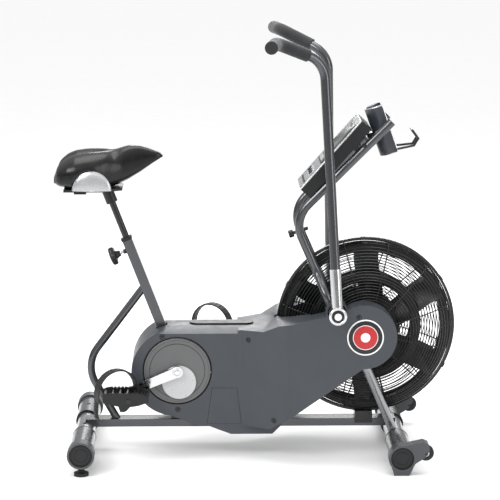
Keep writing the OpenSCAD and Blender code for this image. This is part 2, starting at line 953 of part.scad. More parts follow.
module console_housing() {
    hw = console_w / 2;
    color("dimgray") difference() {
        on_console() difference() {
            box([0, -hw, -console_t - 5], [console_len, hw, -5]);
            box([wall, wall - hw, -console_t - 5 + wall],
                [console_len - wall, hw - wall, -4]);
        }
        both_sides() bar(mast_pts[3], mast_pts[4], mast_r + gap);
    }
}

button_at = [60, 40];  // up the slope, and across from one button to the next
button_r = 9;

module console_face() {
    hw = console_w / 2;
    color("gainsboro") on_console() difference() {
        box([0, -hw, -5], [console_len, hw, 0]);
        for (k = [-1 : 1]) translate([button_at[0], k * button_at[1], -6])
            cylinder(h = 8, r = button_r + gap);
    }
}

// One push button, k places to the left of the middle
module push_button(k) {
    color("dimgray") on_console() translate([button_at[0], k * button_at[1], -2])
        cylinder(h = 6, r = button_r);
}

module left_button() {
    push_button(1);
}

module middle_button() {
    push_button(0);
}

module right_button() {
    push_button(-1);
}

brace_c = [369, 1052];  // cross bar behind the bottle holder
wire_half = [[452.4, -44.2, 1025.8], [517, -24, 1036], [531, -24, 1059], [511, -24, 1086]];
wire_pts = concat(wire_half, [for (k = [3 : -1 : 0]) flip(wire_half[k])]);
wire_r = 4;

// Brace and knob low on the mast, console brackets, and the holder's bar and wire
module mast_brackets() {
    color("dimgray") difference() {
        union() {
            y_cyl(139.3, 748, -mast_y, mast_y, 9);
            bar([108, 0, 736], [172, 0, 758], 6);
            bar([108, 0, 736], [124, 0, 741.5], 13);
            on_console() for (u = [[70, 25], [210, 31]])
                box([u[0], -mast_y, -console_t - 5 - u[1]],
                    [u[0] + 20, mast_y, -console_t - 5]);
            y_cyl(brace_c[0], brace_c[1], -mast_y, mast_y, 9);
            on_holder() box([-66, -20, 46], [-40, 20, 84]);
            for (i = [0 : 6]) bar(wire_pts[i], wire_pts[i + 1], wire_r);
            for (i = [1 : 6]) translate(wire_pts[i]) sphere(r = wire_r + 0.15);
        }
        both_sides() bar(mast_pts[2], mast_pts[3], mast_r + 0.05);
        both_sides() bar(mast_pts[3], mast_pts[4], mast_r + 0.05);
        on_holder() intersection() {
            translate([0, 0, -12]) cylinder(h = 190, r = 46);
            box([-60, -60, -20], [12, 60, 200]);
        }
    }
}

holder_lean = 19.5;
holder_h = 162;

module on_holder() {
    translate([452, 0, 1015]) rotate([0, -holder_lean, 0]) children();
}

// Bottle holder, open at the top and the front
module bottle_holder() {
    color("dimgray") on_holder() difference() {
        cylinder(h = holder_h, r = 46);
        translate([0, 0, 4]) cylinder(h = holder_h, r = 42.5);
        box([12, -60, -1], [60, 60, holder_h + 10]);
    }
}

// ---------------------------------------------------------------- seat

module seat_post() {
    color("black") on_seat_tube() difference() {
        translate([0, 0, seat_tube_len - 190]) cylinder(h = 352, r = post_r);
        translate([0, 0, seat_tube_len - 191]) cylinder(h = 300, r = post_r - 2);
    }
}

module saddle_plan() {
    w = seat_half_w;
    polygon([
        [-662.5, 0], [-662.5, 40 - w], [-640, 14 - w], [-590, -w], [-540, 6 - w],
        [-490, 34 - w], [-440, 66 - w], [-390, 84 - w], [-330, 94 - w], [-307, 104 - w],
        [-307, w - 104], [-330, w - 94], [-390, w - 84], [-440, w - 66], [-490, w - 34],
        [-540, w - 6], [-590, w], [-640, w - 14], [-662.5, w - 40]
    ]);
}

module seat_cushion() {
    color("black") difference() {
        intersection() {
            translate([0, 0, 880]) linear_extrude(height = 180) saddle_plan();
            y_slab(-130, 130) polygon([
                [-662.5, 934], [-656, 914], [-640, 902], [-479, 902], [-419, 924],
                [-326, 987], [-307, 1003], [-312, 1014], [-349, 1028], [-415, 1035],
                [-474, 1027], [-513, 1021], [-595, 1014], [-645, 978]
            ]);
        }
        seat_panels();
    }
}

// Pan under the cushion with the clamp that grips the post
module seat_base() {
    color("black") difference() {
        union() {
            intersection() {
                translate([0, 0, 894]) linear_extrude(height = 8) saddle_plan();
                box([-630, -90, 890], [-440, 90, 902]);
            }
            on_seat_tube() translate([0, 0, seat_tube_len + 134]) cylinder(h = 40, r = 19);
            box([-600, -22, 876], [-560, 22, 894]);
        }
        on_seat_tube() translate([0, 0, seat_tube_len]) cylinder(h = 162, r = post_r);
        box([-700, -200, 902], [-300, 200, 1000]);
    }
}

// Bright half-round panels on the sides of the saddle
module seat_panels() {
    color("gainsboro") both_sides() intersection() {
        y_cyl(-537, 902, -104, -109, 62);
        box([-640, -140, 902], [-440, 0, 1000]);
    }
}

// Lobed knob and its spring pin, which pulls out of the tube
module seat_knob() {
    color("black") on_seat_tube() translate([-50, 0, knob_at]) rotate([0, 90, 0]) {
        translate([0, 0, -24]) {
            cylinder(h = 20, r = 22);
            for (a = [0 : 72 : 288]) rotate([0, 0, a])
                translate([22, 0, 0]) cylinder(h = 16, r = 9);
        }
        translate([0, 0, -4]) cylinder(h = 20, r = 9);
        translate([0, 0, 16]) cylinder(h = 22, r = 4);
    }
}

// ---------------------------------------------------------------- small moving pieces

module transport_wheel() {
    difference() {
        y_cyl(wheel_x, wheel_z, -wheel_y - 11, -wheel_y + 11, wheel_r);
        y_cyl(wheel_x, wheel_z, -wheel_y - 12, -wheel_y + 12, 5 + fit);
    }
}

module right_wheel() {
    color("black") transport_wheel();
}

module left_wheel() {
    color("black") mirror([0, 1, 0]) transport_wheel();
}

// Screw with a round foot under each rear cap
module leveller() {
    translate([rear_stab_x, -leveller_y, 0]) {
        cylinder(h = 10, r = 24);
        cylinder(h = 18, r = 11);
        cylinder(h = 40, r = 5);
    }
}

module right_leveller() {
    color("black") leveller();
}

module left_leveller() {
    color("black") mirror([0, 1, 0]) leveller();
}

// ---------------------------------------------------------------- drawing

rear_stabilizer();
front_stabilizer();
rear_caps();
front_caps();
bolts();
bottom_rail();
rear_strut();
seat_tube();
tube_bushing();
front_struts();
inner_frame();
bearings();
pivot_shafts();
right_shroud();
left_shroud();
top_plate();
badges();
right_grille();
left_grille();
cage_rim();
belts();
pulley_bracket();
mast_tubes();
mast_brackets();
console_housing();
console_face();
bottle_holder();
crank_axle();
crank_pulley();
crank_arms();
crank_covers();
eccentrics();
right_pedal();
right_strap();
left_pedal();
left_strap();
fan_axle();
fan_wheel();
fan_pulley();
mid_pulleys();
right_arm();
right_grip();
right_socket();
left_arm();
left_grip();
left_socket();
right_link();
left_link();
seat_post();
seat_cushion();
seat_base();
seat_panels();
seat_knob();
right_wheel();
left_wheel();
left_button();
middle_button();
right_button();
right_leveller();
left_leveller();
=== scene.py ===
"""Looks of the air bike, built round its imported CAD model. Metres, +Z up, front of the bike at +X."""

import json
import math

import bpy
import numpy as np
from mathutils import Matrix, Vector
from mathutils.bvhtree import BVHTree


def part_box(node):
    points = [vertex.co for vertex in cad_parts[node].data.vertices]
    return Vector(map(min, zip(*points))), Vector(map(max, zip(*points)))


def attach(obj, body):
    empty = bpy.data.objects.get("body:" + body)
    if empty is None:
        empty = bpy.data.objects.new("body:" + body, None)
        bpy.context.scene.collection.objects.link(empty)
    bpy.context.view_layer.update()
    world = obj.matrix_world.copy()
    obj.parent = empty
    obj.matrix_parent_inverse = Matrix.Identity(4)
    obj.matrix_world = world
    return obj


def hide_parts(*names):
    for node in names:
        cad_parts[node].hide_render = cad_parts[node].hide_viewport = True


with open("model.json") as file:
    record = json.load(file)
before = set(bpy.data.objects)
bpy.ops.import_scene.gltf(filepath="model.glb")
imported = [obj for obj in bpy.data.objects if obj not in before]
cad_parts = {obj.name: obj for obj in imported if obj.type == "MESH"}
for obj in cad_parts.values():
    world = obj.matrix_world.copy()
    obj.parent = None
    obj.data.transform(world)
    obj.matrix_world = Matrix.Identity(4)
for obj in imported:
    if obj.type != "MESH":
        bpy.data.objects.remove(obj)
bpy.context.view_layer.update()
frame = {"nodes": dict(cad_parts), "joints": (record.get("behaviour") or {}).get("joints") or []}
MM = 0.001


# ---------------------------------------------------------------- places from the frame

def joint_at(name):
    """Where a joint is at rest."""
    return Vector(next(j for j in frame["joints"] if j["name"] == name)["pos_m"])


def middle(node):
    """The middle of a CAD node's box."""
    low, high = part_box(node)
    return (low + high) / 2


FAN = joint_at("fan_spin")
CRANK = joint_at("crank_spin")
SIDES = (("right", -1), ("left", 1))


# ---------------------------------------------------------------- materials

def noise(tree, coords, scale, detail=4.0, rough=0.55):
    """Cloudy noise, from 0 to 1."""
    n = tree.nodes.new("ShaderNodeTexNoise")
    n.inputs["Scale"].default_value = scale
    n.inputs["Detail"].default_value = detail
    n.inputs["Roughness"].default_value = rough
    tree.links.new(coords, n.inputs["Vector"])
    return n.outputs["Fac"]


def cells(tree, coords, scale, feature="F1"):
    """Distance to the nearest cell point: grain, or open pores."""
    n = tree.nodes.new("ShaderNodeTexVoronoi")
    n.feature = feature
    n.inputs["Scale"].default_value = scale
    tree.links.new(coords, n.inputs["Vector"])
    return n.outputs["Distance"]


def spread(tree, value, low, high, out_low, out_high):
    """Maps a value from low..high to out_low..out_high."""
    n = tree.nodes.new("ShaderNodeMapRange")
    tree.links.new(value, n.inputs["Value"])
    ends = (("From Min", low), ("From Max", high), ("To Min", out_low), ("To Max", out_high))
    for key, v in ends:
        n.inputs[key].default_value = v
    return n.outputs["Result"]


def blend_colours(tree, fac, a, b):
    """Mixes two colours, each a fixed one or another node's output."""
    n = tree.nodes.new("ShaderNodeMix")
    n.data_type = "RGBA"
    tree.links.new(fac, n.inputs["Factor"])
    for key, c in (("A", a), ("B", b)):
        socket = [s for s in n.inputs if s.name == key and s.type == "RGBA"][0]
        if isinstance(c, tuple):
            socket.default_value = (*c, 1)
        else:
            tree.links.new(c, socket)
    return [s for s in n.outputs if s.type == "RGBA"][0]


def shade(c, k):
    """A colour k times as bright."""
    return tuple(min(1.0, x * k) for x in c)


def material(name, colour, rough, metal=0.0, coat=0.0, grain=None, depth=0.1, vary=0.1,
             rub=0.08, stretch=(1, 1, 1), specular=0.5, sheen=0.0, pores=False):
    """A moulded, painted or plated finish: slow colour change, fine grain, uneven gloss and relief."""
    mat = bpy.data.materials.new(name)
    mat.use_nodes = True
    tree = mat.node_tree
    bsdf = tree.nodes["Principled BSDF"]
    coords = tree.nodes.new("ShaderNodeTexCoord").outputs["Object"]
    place = tree.nodes.new("ShaderNodeMapping")
    place.inputs["Scale"].default_value = stretch
    tree.links.new(coords, place.inputs["Vector"])
    slow = noise(tree, coords, 9, 3)
    fine = noise(tree, place.outputs["Vector"], (grain or 900) * 0.5, 5)
    base = blend_colours(tree, spread(tree, slow, 0.3, 0.7, 0, 1), shade(colour, 1 - vary),
                         shade(colour, 1 + vary))
    speck = blend_colours(tree, spread(tree, fine, 0.42, 0.62, 0, 1), base,
                          shade(colour, 1 + 2.2 * vary))
    patches = spread(tree, noise(tree, coords, 60, 4), 0.3, 0.7, 0.1, 0.5)
    mixed = blend_colours(tree, patches, base, speck)
    tree.links.new(mixed, bsdf.inputs["Base Color"])
    smudge = noise(tree, coords, 28, 6, 0.65)
    tree.links.new(spread(tree, smudge, 0.3, 0.7, max(rough - rub, 0.03), rough + rub),
                   bsdf.inputs["Roughness"])
    bsdf.inputs["Metallic"].default_value = metal
    bsdf.inputs["Specular IOR Level"].default_value = specular
    bsdf.inputs["Coat Weight"].default_value = coat
    bsdf.inputs["Coat Roughness"].default_value = 0.12
    bsdf.inputs["Sheen Weight"].default_value = sheen
    bump = tree.nodes.new("ShaderNodeBump")
    bump.inputs["Strength"].default_value = depth
    bump.inputs["Distance"].default_value = 0.0006
    relief = cells(tree, place.outputs["Vector"], grain or 900, "F1" if pores else "SMOOTH_F1")
    tree.links.new(relief, bump.inputs["Height"])
    tree.links.new(bump.outputs["Normal"], bsdf.inputs["Normal"])
    return mat


SHROUD = material("shroud_abs", (0.040, 0.045, 0.053), 0.38, grain=850, depth=0.12, vary=0.05,
                  specular=0.4)
DARK = material("dark_plastic", (0.009, 0.0092, 0.010), 0.38, grain=900, depth=0.12, vary=0.12,
                specular=0.32)
CAP = material("cap_plastic", (0.045, 0.048, 0.053), 0.40, grain=800, depth=0.16, vary=0.1)
FRAME = material("gunmetal_paint", (0.080, 0.082, 0.088), 0.25, metal=0.85, coat=0.2, grain=2600,
                 depth=0.002, vary=0.03, rub=0.02)
SLEEVE = material("sleeve_paint", (0.12, 0.122, 0.128), 0.27, metal=0.85, coat=0.2, grain=2600,
                  depth=0.002, vary=0.03, rub=0.02)
SILVER_PAINT = material("silver_paint", (0.27, 0.274, 0.285), 0.27, metal=0.8, coat=0.2, grain=2600,
                        depth=0.002, vary=0.03, rub=0.02)
BLACK = material("black_paint", (0.006, 0.006, 0.0065), 0.26, coat=0.15, grain=1600, depth=0.02,
                 vary=0.12, specular=0.35)
CHROME = material("polished_steel", (0.60, 0.60, 0.615), 0.13, metal=1.0, grain=1500, depth=0.003,
                  vary=0.03, rub=0.05)
STEEL = material("plain_steel", (0.42, 0.42, 0.44), 0.3, metal=1.0, grain=1200, depth=0.01, vary=0.06,
                 stretch=(1, 6, 1))
COVER = material("cover_plastic", (0.092, 0.093, 0.095), 0.36, grain=900, depth=0.12, vary=0.05)
SILVER = material("silver_plastic", (0.52, 0.525, 0.535), 0.25, metal=0.7, coat=0.1, grain=1300,
                  depth=0.004, vary=0.03)
WHITE = material("badge_white", (0.72, 0.72, 0.72), 0.3, coat=0.1, grain=1500, depth=0.03, vary=0.03)
RED = material("badge_red", (0.40, 0.006, 0.008), 0.3, coat=0.1, grain=1500, depth=0.03, vary=0.06)
DISC = material("disc_plastic", (0.42, 0.425, 0.43), 0.32, metal=0.3, coat=0.1, grain=1300, depth=0.03,
                vary=0.03)
FAN_BLACK = material("fan_plastic", (0.007, 0.0072, 0.008), 0.34, grain=900, depth=0.10, vary=0.15,
                     specular=0.3)
BELT = material("belt_rubber", (0.009, 0.009, 0.009), 0.52, grain=500, depth=0.25, vary=0.2,
                specular=0.35)
FOAM = material("grip_foam", (0.012, 0.0125, 0.014), 0.74, grain=620, depth=0.5, vary=0.25, sheen=0.2,
                pores=True, specular=0.35)
TYRE = material("tyre_rubber", (0.010, 0.010, 0.0105), 0.55, grain=700, depth=0.25, vary=0.2,
                specular=0.35)
VINYL = material("seat_vinyl", (0.0035, 0.0035, 0.004), 0.27, grain=420, depth=0.16, vary=0.12,
                 specular=0.32)
GLASS = material("display_glass", (0.012, 0.015, 0.018), 0.12, coat=1.0, grain=2000, depth=0.01,
                 vary=0.1)
HOLDER = material("holder_plastic", (0.030, 0.035, 0.044), 0.34, grain=900, depth=0.1, vary=0.08)
DISPLAY = material("display_panel", (0.085, 0.095, 0.088), 0.35, grain=1800, depth=0.03, vary=0.05)

FINISH = {
    "rear_stabilizer": SILVER_PAINT, "front_stabilizer": SILVER_PAINT, "rear_caps": CAP,
    "front_caps": CAP, "bolts": BLACK, "bottom_rail": FRAME, "rear_strut": FRAME,
    "seat_tube": FRAME, "tube_bushing": DARK, "front_struts": SILVER_PAINT, "inner_frame": BLACK,
    "bearings": STEEL, "pivot_shafts": CHROME, "right_shroud": SHROUD, "left_shroud": SHROUD,
    "top_plate": DARK, "badges": WHITE, "right_grille": BLACK, "left_grille": BLACK,
    "cage_rim": BLACK, "belts": BELT, "pulley_bracket": BLACK, "mast_tubes": FRAME,
    "mast_brackets": BLACK, "console_housing": DARK, "console_face": SILVER,
    "bottle_holder": HOLDER, "crank_axle": STEEL, "crank_pulley": DARK, "crank_arms": CHROME,
    "crank_covers": COVER, "eccentrics": DISC, "right_pedal": DARK, "right_strap": BELT,
    "left_pedal": DARK, "left_strap": BELT, "fan_axle": STEEL, "fan_wheel": FAN_BLACK,
    "fan_pulley": DARK, "mid_pulleys": DARK, "right_arm": FRAME, "right_grip": FOAM,
    "right_socket": CHROME, "left_arm": FRAME, "left_grip": FOAM, "left_socket": CHROME,
    "right_link": STEEL, "left_link": STEEL, "seat_post": BLACK, "seat_cushion": VINYL,
    "seat_base": DARK, "seat_panels": SILVER, "seat_knob": DARK, "right_wheel": TYRE,
    "left_wheel": TYRE, "left_button": DARK, "middle_button": DARK, "right_button": DARK,
    "right_leveller": TYRE, "left_leveller": TYRE,
}
EDGE = {"right_shroud": 4.0, "left_shroud": 4.0, "console_housing": 4.0, "console_face": 1.6,
        "bottom_rail": 2.0, "seat_tube": 3.0, "top_plate": 2.2, "crank_arms": 2.5, "seat_base": 2.5,
        "right_socket": 2.0, "left_socket": 2.0, "seat_panels": 1.6, "rear_caps": 3.0,
        "front_caps": 3.0, "right_wheel": 4.0, "left_wheel": 4.0, "crank_covers": 1.6,
        "eccentrics": 1.6, "bottle_holder": 1.0}


def finish_node(name, mat):
    """Rounds the CAD node's hard edges a little and gives it its finish."""
    o = frame["nodes"][name]
    o.data.materials.clear()
    o.data.materials.append(mat)
    weld = o.modifiers.new("weld", "WELD")
    weld.merge_threshold = 0.00003
    bevel = o.modifiers.new("round", "BEVEL")
    bevel.width = EDGE.get(name, 1.0) * MM
    bevel.segments = 3
    bevel.limit_method = "ANGLE"
    bevel.angle_limit = math.radians(38)
    bevel.miter_outer = "MITER_ARC"
    even = o.modifiers.new("even", "WEIGHTED_NORMAL")
    even.keep_sharp = False
    even.weight = 60


for node_name, node_mat in FINISH.items():
    finish_node(node_name, node_mat)


# ---------------------------------------------------------------- mesh building

class Mesh:
    """Collects vertices and faces, each with a finish, for one object."""

    def __init__(self):
        self.v, self.f, self.m = [], [], []

    def add(self, part, mat=0, move=None):
        """Takes in (vertices, faces) with one finish, moved by a matrix."""
        v, f = part
        base = len(self.v)
        self.v += [tuple(move @ Vector(p)) if move is not None else tuple(p) for p in v]
        self.f += [tuple(base + i for i in q) for q in f]
        self.m += [mat] * len(f)
        return self

    def build(self, name, mats, body, slot, stands_for=(), sharp=35):
        """Makes the object, parents it to the body it rides on and hides the CAD nodes it stands for."""
        data = bpy.data.meshes.new(name)
        data.from_pydata(self.v, [], self.f)
        for m in mats:
            data.materials.append(m)
        data.polygons.foreach_set("material_index", self.m)
        data.polygons.foreach_set("use_smooth", [True] * len(self.f))
        data.set_sharp_from_angle(angle=math.radians(sharp))
        o = bpy.data.objects.new(name, data)
        bpy.context.scene.collection.objects.link(o)
        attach(o, body)
        if stands_for:
            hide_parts(*stands_for)
        return o


def quads(rows, cols, wrap_rows=False, wrap_cols=True):
    """Faces of a grid of rows x cols points."""
    out = []
    for i in range(rows if wrap_rows else rows - 1):
        for j in range(cols if wrap_cols else cols - 1):
            a, b = i * cols + j, i * cols + (j + 1) % cols
            c, d = (i + 1) % rows * cols + (j + 1) % cols, (i + 1) % rows * cols + j
            out.append((a, b, c, d))
    return out


def lathe(profile, n=64, closed=False):
    """Turns (radius, height) points about the local Z axis. Open ends are capped; closed joins the ends."""
    v = [(r * math.cos(t), r * math.sin(t), h) for r, h in profile
         for t in (2 * math.pi * k / n for k in range(n))]
    f = quads(len(profile), n, wrap_rows=closed)
    if not closed:
        f.append(tuple(range(n - 1, -1, -1)))
        f.append(tuple(range((len(profile) - 1) * n, len(profile) * n)))
    return v, f


def along_y(centre, side=1):
    """Places local Z along Y, outwards on that side, at a point."""
    return Matrix.Translation(centre) @ Matrix.Rotation(-side * math.pi / 2, 4, "X")


def direction(p, i, closed):
    """Which way a path runs at its point i."""
    n = len(p)
    before = p[(i - 1) % n if closed else max(i - 1, 0)]
    after = p[(i + 1) % n if closed else min(i + 1, n - 1)]
    return (after - before).normalized()


def sweep(points, radius, sides=8, closed=False):
    """A round rod through points; radius is a number or one per point."""
    p = [Vector(q) for q in points]
    n = len(p)
    radii = radius if isinstance(radius, (list, tuple)) else [radius] * n
    v, ref = [], None
    for i in range(n):
        t = direction(p, i, closed)
        if ref is None:
            ref = t.orthogonal().normalized()
        ref = (ref - t * ref.dot(t)).normalized()
        across = t.cross(ref)
        v += [tuple(p[i] + (ref * math.cos(a) + across * math.sin(a)) * radii[i])
              for a in (2 * math.pi * k / sides for k in range(sides))]
    f = quads(n, sides, wrap_rows=closed)
    if not closed:
        f.append(tuple(range(sides - 1, -1, -1)))
        f.append(tuple(range((n - 1) * sides, n * sides)))
    return v, f


def band(points, width, thick, closed=False, rounding=0.3):
    """A flat strap whose path lies in the XZ plane, width across Y."""
    p = [Vector(q) for q in points]
    n = len(p)
    w, t = width / 2, thick / 2
    c = min(w, t) * rounding * 2
    section = [(-w + c, -t), (w - c, -t), (w, -t + c), (w, t - c), (w - c, t), (-w + c, t),
               (-w, t - c), (-w, -t + c)]
    v = []
    for i in range(n):
        d = direction(p, i, closed)
        d.y = 0
        d.normalize()
        up = Vector((-d.z, 0, d.x))
        v += [tuple(p[i] + Vector((0, a, 0)) + up * b) for a, b in section]
    f = quads(n, 8, wrap_rows=closed)
    if not closed:
        f.append(tuple(range(7, -1, -1)))
        f.append(tuple(range((n - 1) * 8, n * 8)))
    return v, f


def slab(outline, low, high, edge):
    """A plate with an XZ outline, anticlockwise seen from -Y, from Y low to high, edges rounded."""
    pts = [Vector((x, 0, z)) for x, z in outline]
    n = len(pts)
    inward = []
    for i in range(n):
        a, b = (pts[i] - pts[i - 1]).normalized(), (pts[(i + 1) % n] - pts[i]).normalized()
        na, nb = Vector((-a.z, 0, a.x)), Vector((-b.z, 0, b.x))
        s = (na + nb)
        inward.append(s / max(s.length_squared / 2, 0.25))
    rings = [(low, edge), (low + edge * 0.3, edge * 0.3), (low + edge, 0), (high - edge, 0),
             (high - edge * 0.3, edge * 0.3), (high, edge)]
    v = [tuple(p + d * inset + Vector((0, y, 0))) for y, inset in rings for p, d in zip(pts, inward)]
    f = quads(len(rings), n)
    f.append(tuple(range(n - 1, -1, -1)))
    f.append(tuple(range((len(rings) - 1) * n, len(rings) * n)))
    return v, f


def arc(cx, cz, r, a0, a1, n):
    """Points on an arc in the XZ plane, angles in degrees."""
    return [(cx + r * math.cos(math.radians(a0 + (a1 - a0) * k / n)),
             cz + r * math.sin(math.radians(a0 + (a1 - a0) * k / n))) for k in range(n + 1)]


# ---------------------------------------------------------------- cage and fan

CAGE_SHAPE = ((0.046, 0.1125), (0.105, 0.1115), (0.150, 0.1045), (0.200, 0.0915), (0.240, 0.0715),
              (0.268, 0.052), (0.2835, 0.0315), (0.2865, 0.0105))


RING_WIRE, RADIAL_WIRE = 0.00155, 0.0022  # radii


def cage_y(r):
    """How far the cage stands from the middle plane at a distance from the fan's axis."""
    return float(np.interp(r, [p[0] for p in CAGE_SHAPE], [p[1] for p in CAGE_SHAPE]))


def grille(name, side):
    """One half of the cage: rings of wire on radial wires that meet a hub plate."""
    m = Mesh()
    rings = [(r, cage_y(r)) for r in np.arange(0.060, 0.281, 0.0092)]
    rings += [(0.2845, 0.024), (0.2860, 0.014)]
    for r, y in rings:
        m.add(sweep([(FAN.x + r * math.cos(t), side * y, FAN.z + r * math.sin(t))
                     for t in (2 * math.pi * k / 84 for k in range(84))], RING_WIRE, 6, closed=True))
    for k in range(12):
        t = math.radians(15 + 30 * k)
        rr = np.linspace(0.046, 0.284, 22)
        path = [(FAN.x + r * math.cos(t), side * (cage_y(r) - 0.003), FAN.z + r * math.sin(t))
                for r in rr]
        path.append((FAN.x + 0.2865 * math.cos(t), side * 0.0105, FAN.z + 0.2865 * math.sin(t)))
        m.add(sweep(path, RADIAL_WIRE, 6))
    m.add(lathe([(0.020, 0.1080), (0.052, 0.1080), (0.056, 0.1095), (0.056, 0.1120), (0.052, 0.1135),
                 (0.022, 0.1135), (0.020, 0.1125)], closed=True),
          move=along_y(Vector((FAN.x, 0, FAN.z)), side))
    return m.build(name + "_wires", [BLACK], "root", "black_paint", [name])


for side_name, side in SIDES:
    grille(side_name + "_grille", side)


def fan_wheel():
    """Hub, inner disc, two rings and six swept, twisted blades."""
    m = Mesh()
    turn = along_y(Vector((FAN.x, 0, FAN.z)), 1)
    m.add(lathe([(0.013, -0.058), (0.030, -0.060), (0.034, -0.056), (0.034, -0.012), (0.060, -0.006),
                 (0.112, -0.004), (0.116, 0.0), (0.112, 0.004), (0.060, 0.006), (0.034, 0.012),
                 (0.034, 0.056), (0.030, 0.060), (0.013, 0.058)], closed=True), move=turn)
    for r0, r1 in ((0.150, 0.182), (0.252, 0.279)):
        for y in (-0.030, 0.030):
            below = [(r0, y - 0.0015), (r0 + 0.0015, y - 0.0025), (r1 - 0.0015, y - 0.0025),
                     (r1, y - 0.0015)]
            above = [(r, 2 * y - h) for r, h in reversed(below)]
            m.add(lathe(below + above, n=96, closed=True), move=turn)
    for k in range(6):
        rows, v = 18, []
        for i in range(rows):
            r = 0.108 + (0.276 - 0.108) * i / (rows - 1)
            lean = math.radians(62 - 24 * i / (rows - 1))
            back = math.radians(20 + 60 * k + 10 * math.sin(math.pi * (r - 0.108) / 0.25))
            for c in [*np.linspace(-1, 1, 9), *np.linspace(1, -1, 9)]:
                upper = len(v) % 18 < 9
                half = 0.046 + 0.012 * i / (rows - 1)
                camber = (0.006 * (1 - c * c)
                          + (0.0018 if upper else -0.0018) * max(1 - c ** 6, 0.25))
                along = c * half * math.sin(lean) + camber * math.cos(lean)
                out = c * half * math.cos(lean) - camber * math.sin(lean)
                t = back + along / r
                v.append((FAN.x + r * math.cos(t), out, FAN.z + r * math.sin(t)))
        f = quads(rows, 18)
        f += [tuple(range(17, -1, -1)), tuple(range((rows - 1) * 18, rows * 18))]
        m.add((v, f))
    return m.build("fan_blades", [FAN_BLACK], "fan", "fan_plastic", ["fan_wheel"])


fan_wheel()


# ---------------------------------------------------------------- saddle

# The saddle's upper line, lower line and half width, each against the distance from its rear end.
# Distances and heights start at the low rear corner of the CAD cushion's box.
SADDLE_TOP = ((0.0005, 0.028), (0.0045, 0.056), (0.0175, 0.080), (0.0425, 0.100), (0.0675, 0.1105),
              (0.1075, 0.1165), (0.1495, 0.1195), (0.1885, 0.1245), (0.2475, 0.1325),
              (0.2825, 0.1315), (0.3135, 0.1250), (0.3375, 0.1170), (0.3500, 0.1100),
              (0.3550, 0.101))
SADDLE_LOW = ((0.0005, 0.016), (0.0175, 0.004), (0.0625, 0.000), (0.1425, -0.0005),
              (0.1835, 0.0005), (0.2125, 0.009), (0.2435, 0.024), (0.2825, 0.048), (0.3225, 0.076),
              (0.3445, 0.090), (0.3550, 0.097))
SADDLE_HALF = ((0.0005, 0.060), (0.0075, 0.082), (0.0225, 0.1005), (0.0475, 0.1130),
               (0.0725, 0.1165), (0.1025, 0.1140), (0.1325, 0.1060), (0.1625, 0.0900),
               (0.1925, 0.0690), (0.2225, 0.0510), (0.2625, 0.0365), (0.3025, 0.0285),
               (0.3325, 0.0225), (0.3500, 0.0140), (0.3550, 0.0060))


PANEL_REACH = 0.065  # how far from a side panel's middle the pad is flattened for it
PANEL_SEAT = 0.007  # how far that flat lies inside the CAD panel's face


def smooth_curve(points, x):
    """A smooth value through points, by blending neighbouring straight lines."""
    xs, ys = [p[0] for p in points], [p[1] for p in points]
    return float(np.mean([np.interp(x + d, xs, ys) for d in (-0.006, -0.003, 0, 0.003, 0.006)]))


def saddle():
    """A crowned pad with two rear lobes, a groove between them and a rounded nose."""
    rows, cols, v = 110, 96, []
    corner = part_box("seat_cushion")[0]
    panel, (panel_low, panel_high) = middle("seat_panels"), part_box("seat_panels")
    start, end = SADDLE_TOP[0][0], SADDLE_TOP[-1][0]
    for i in range(rows):
        s = i / (rows - 1)
        s = 0.5 - 0.5 * math.cos(math.pi * s) * (0.55 + 0.45 * abs(math.cos(math.pi * s)) ** 2)
        along = start + (end - start) * s
        x = corner.x + along
        top, low = (corner.z + smooth_curve(line, along) for line in (SADDLE_TOP, SADDLE_LOW))
        w = smooth_curve(SADDLE_HALF, along)
        rear = 1 / (1 + math.exp((along - 0.1625) / 0.020))
        mid = low + (top - low) * (0.36 + 0.06 * rear)
        for j in range(cols):
            a = 2 * math.pi * j / cols
            ca, sa = math.cos(a), math.sin(a)
            y = w * math.copysign(abs(ca) ** 0.72, ca)
            z = mid + ((top - mid) * abs(sa) ** 0.80 if sa > 0 else -(mid - low) * abs(sa) ** 0.55)
            if sa > 0:
                lift = sa ** 0.5
                groove = 0.021 * rear + 0.002 * (1 - rear)
                z -= groove * math.exp(-(y / (0.012 + 0.014 * rear)) ** 2) * lift
                z += 0.004 * rear * math.exp(-((abs(y) - 0.055) / 0.026) ** 2) * lift
                z -= (0.015 * math.exp(-((along - 0.2005) / 0.022) ** 2)
                      * math.exp(-((abs(y) - 0.050) / 0.030) ** 2) * lift)
                z += (0.005 * math.exp(-((along - 0.2675) / 0.040) ** 2)
                      * math.exp(-(y / 0.022) ** 2) * lift)
            if math.hypot(x - panel.x, z - panel_low.z) < PANEL_REACH:
                y = math.copysign(min(abs(y), panel_high.y - PANEL_SEAT), y)
            v.append((x, y, z))
    f = quads(rows, cols)
    f += [tuple(range(cols - 1, -1, -1)), tuple(range((rows - 1) * cols, rows * cols))]
    m = Mesh().add((v, f))
    pad = m.build("saddle_pad", [VINYL], "seat", "seat_vinyl", ["seat_cushion"], sharp=80)
    sub = pad.modifiers.new("soft", "SUBSURF")
    sub.levels = sub.render_levels = 1
    return pad


saddle()


# ---------------------------------------------------------------- saddle panels and base

